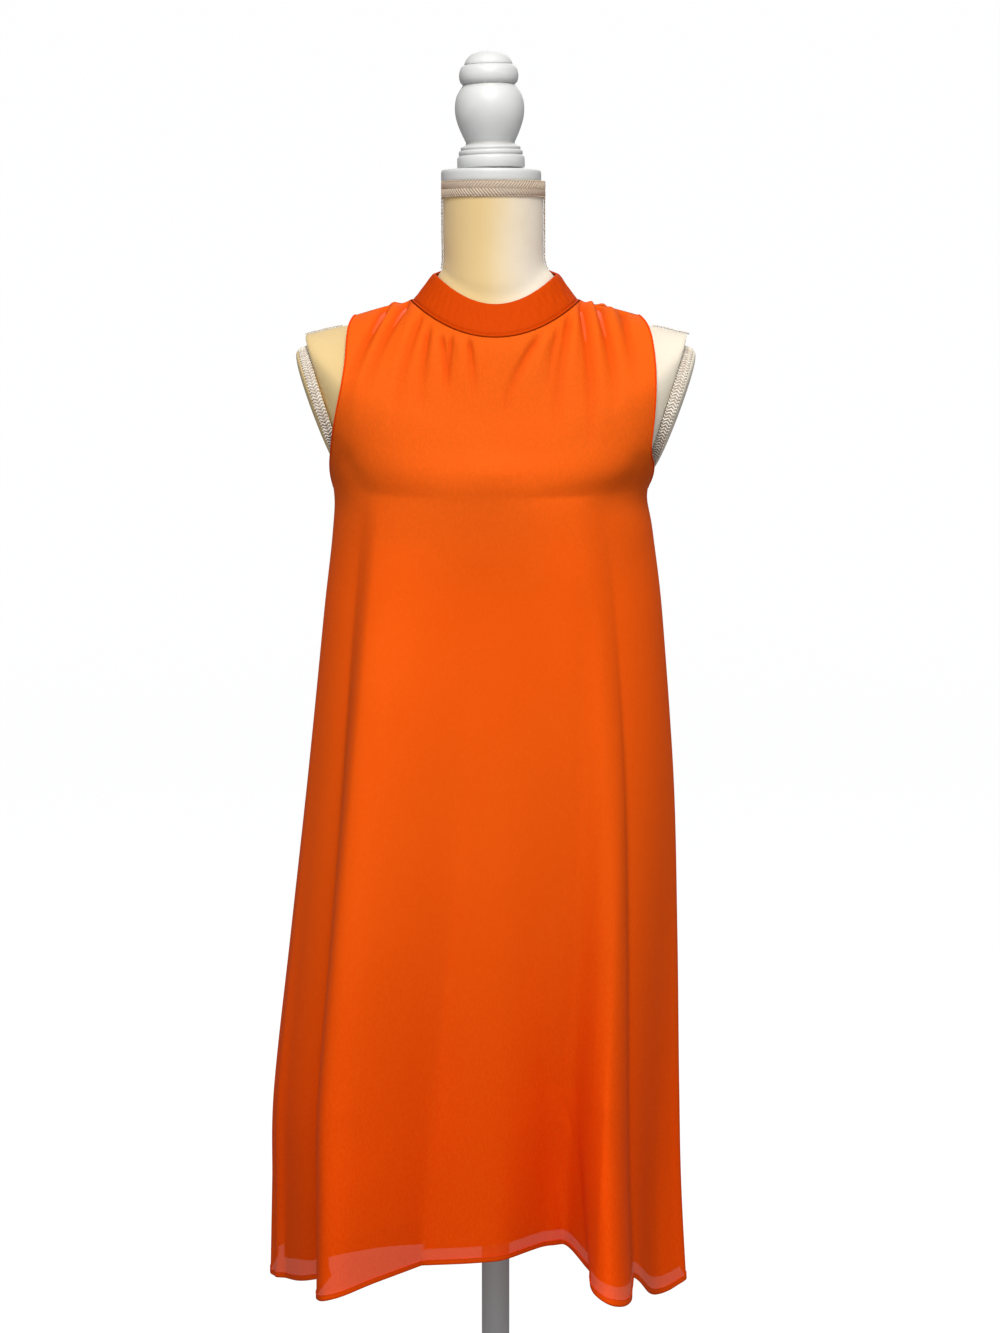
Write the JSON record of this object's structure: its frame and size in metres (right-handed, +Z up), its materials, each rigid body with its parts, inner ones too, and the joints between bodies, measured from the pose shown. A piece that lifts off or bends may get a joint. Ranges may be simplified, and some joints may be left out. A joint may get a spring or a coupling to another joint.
{
  "type": "trapeze dress on a limbless dress form",
  "caption": "Sleeveless trapeze dress with a standing neckband, gathered shoulders and a sheer turned hem, on a padded limbless dress form with a turned finial, pole and round base.",
  "frame": {"origin": "on the floor under the stand's pole, at the middle of the base's underside", "axes": "+Z up along the pole; the dress's front faces -Y; +X is to the right as seen from the front"},
  "size_m": [0.4204, 0.4176, 1.6259],
  "materials": {
    "orange_chiffon": "thin matt crinkled chiffon, slightly sheer at the hem",
    "orange_lining": "opaque plain-weave lining with a soft sheen",
    "cream_jersey": "smooth stretched cotton jersey over padding",
    "pale_gimp_braid": "woven herringbone gimp braid, matt",
    "white_paint": "turned wood with satin white paint"
  },
  "bodies": {
    "root": {"front_panel": "orange_chiffon", "back_right_panel": "orange_chiffon", "back_left_panel": "orange_chiffon", "front_lining": "orange_lining", "back_right_lining": "orange_lining", "back_left_lining": "orange_lining", "neckband": "orange_chiffon", "neck_button_1": "orange_chiffon", "neck_button_2": "orange_chiffon", "torso": "cream_jersey", "arm_plate_left": "cream_jersey", "arm_plate_right": "cream_jersey", "armhole_braid_left": "pale_gimp_braid", "armhole_braid_right": "pale_gimp_braid", "neck_braid": "pale_gimp_braid", "neck_side_braid_left": "pale_gimp_braid", "neck_side_braid_right": "pale_gimp_braid", "shoulder_braid_left": "pale_gimp_braid", "shoulder_braid_right": "pale_gimp_braid", "neck_cap": "white_paint", "finial": "white_paint", "stand_socket": "white_paint", "stand_pole": "white_paint", "stand_base": "white_paint"}
  },
  "joints": []
}
